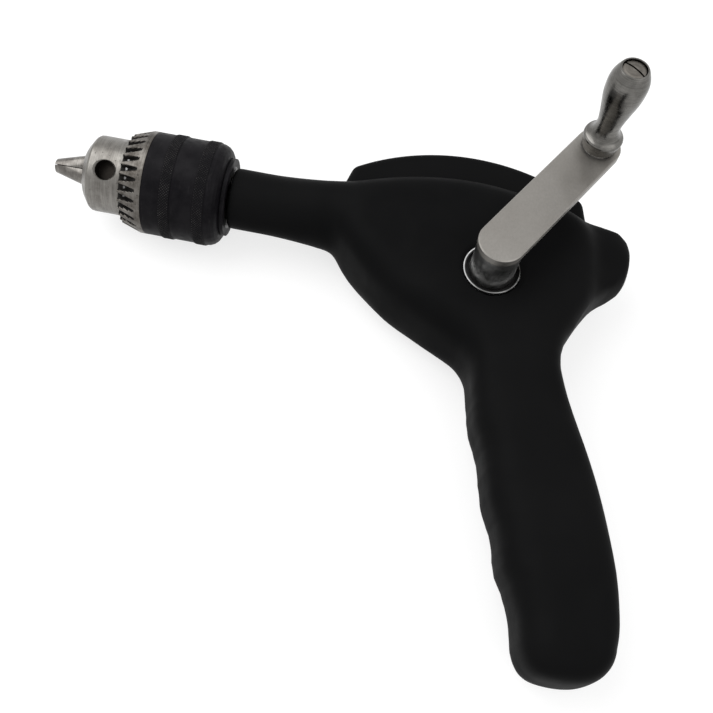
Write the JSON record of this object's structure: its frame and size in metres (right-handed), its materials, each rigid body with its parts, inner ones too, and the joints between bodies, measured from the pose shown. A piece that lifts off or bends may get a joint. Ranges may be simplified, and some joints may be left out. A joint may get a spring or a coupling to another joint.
{
  "type": "orthopedic hand drill",
  "caption": "Pistol-grip bone drill turned by a side crank through a gear train, with a hollow spindle and a keyed three-jaw chuck.",
  "frame": {"origin": "on the spindle axis, level with the crank axis", "axes": "+X along the spindle axis from the chuck to the rear, -Y towards the grip, +Z out of the crank side; the drill lies on its other side"},
  "size_m": [0.1954, 0.1662, 0.0814],
  "materials": {
    "body_black": "matte black moulding",
    "screw_steel": "turned steel",
    "bright_steel": "bright ground steel",
    "seal_rubber": "black rubber",
    "bronze": "plain bearing bronze",
    "spring_steel": "blackened spring steel",
    "collar_steel": "dark satin steel",
    "gear_steel": "oiled machined steel",
    "arm_steel": "warm grey satin steel",
    "knob_steel": "turned satin steel",
    "chuck_steel": "ground chuck steel",
    "ring_steel": "mottled hardened steel",
    "sleeve_black": "blackened knurled steel",
    "jaw_steel": "ground hardened steel"
  },
  "bodies": {
    "housing": {"near_shell": "body_black", "far_shell": "body_black", "top_cover": "body_black", "shell_screws": "screw_steel", "crank_bearing_ring": "bright_steel", "crank_seal": "seal_rubber", "crank_bush": "bronze", "crank_foot_bush": "bronze", "spindle_front_bush": "bronze", "spindle_rear_bush": "bronze", "idler_axle": "screw_steel", "idler_clip": "spring_steel", "idler_screw": "screw_steel"},
    "crank": {"crank_shaft": "collar_steel", "crank_gear": "gear_steel", "gear_key": "gear_steel", "crank_arm": "arm_steel", "knob_washer": "bright_steel", "knob_screw": "screw_steel"},
    "knob": {"knob": "knob_steel"},
    "idler": {"idler_pinion": "gear_steel", "idler_bevel": "gear_steel"},
    "spindle": {"spindle": "gear_steel", "spindle_bevel": "gear_steel", "bevel_grub_screw": "spring_steel", "spindle_circlip": "spring_steel", "chuck_body": "chuck_steel", "chuck_back_ring": "chuck_steel"},
    "sleeve": {"gear_ring": "ring_steel", "chuck_sleeve": "sleeve_black", "split_nut": "gear_steel"},
    "jaw_1": {"jaw_1": "jaw_steel"},
    "jaw_2": {"jaw_2": "jaw_steel"},
    "jaw_3": {"jaw_3": "jaw_steel"}
  },
  "joints": [
    {"name": "crank_spin", "type": "hinge", "parent": "housing", "child": "crank", "pos_m": [0, -0.02, 0.02], "axis": [0, 0, 1], "continuous": true},
    {"name": "knob_spin", "type": "hinge", "parent": "crank", "child": "knob", "pos_m": [0.02666, 0.02301, 0.045], "axis": [0, 0, 1], "continuous": true},
    {"name": "idler_spin", "type": "hinge", "parent": "housing", "child": "idler", "pos_m": [-0.015, 0, -0.011], "axis": [0, 0, 1], "continuous": true},
    {"name": "spindle_spin", "type": "hinge", "parent": "housing", "child": "spindle", "pos_m": [0, 0, 0], "axis": [1, 0, 0], "continuous": true},
    {"name": "sleeve_turn", "type": "hinge", "parent": "spindle", "child": "sleeve", "pos_m": [-0.11, 0, 0], "axis": [1, 0, 0], "range_deg": [0, 2719.5]},
    {"name": "jaw_1_slide", "type": "slide", "parent": "spindle", "child": "jaw_1", "axis": [0.9563, 0.1488, 0.2517], "range_m": [0, 0.0136]},
    {"name": "jaw_2_slide", "type": "slide", "parent": "spindle", "child": "jaw_2", "axis": [0.9563, 0.1435, -0.2547], "range_m": [0, 0.0136]},
    {"name": "jaw_3_slide", "type": "slide", "parent": "spindle", "child": "jaw_3", "axis": [0.9563, -0.2924, 0.0031], "range_m": [0, 0.0136]}
  ],
  "couplings": [
    {"joint": "idler_spin", "follows": "crank_spin", "ratio": -2.125},
    {"joint": "spindle_spin", "follows": "crank_spin", "ratio": 3.1875},
    {"joint": "jaw_1_slide", "follows": "sleeve_turn", "m_per_rad": 0.00028648},
    {"joint": "jaw_2_slide", "follows": "sleeve_turn", "m_per_rad": 0.00028648},
    {"joint": "jaw_3_slide", "follows": "sleeve_turn", "m_per_rad": 0.00028648}
  ]
}
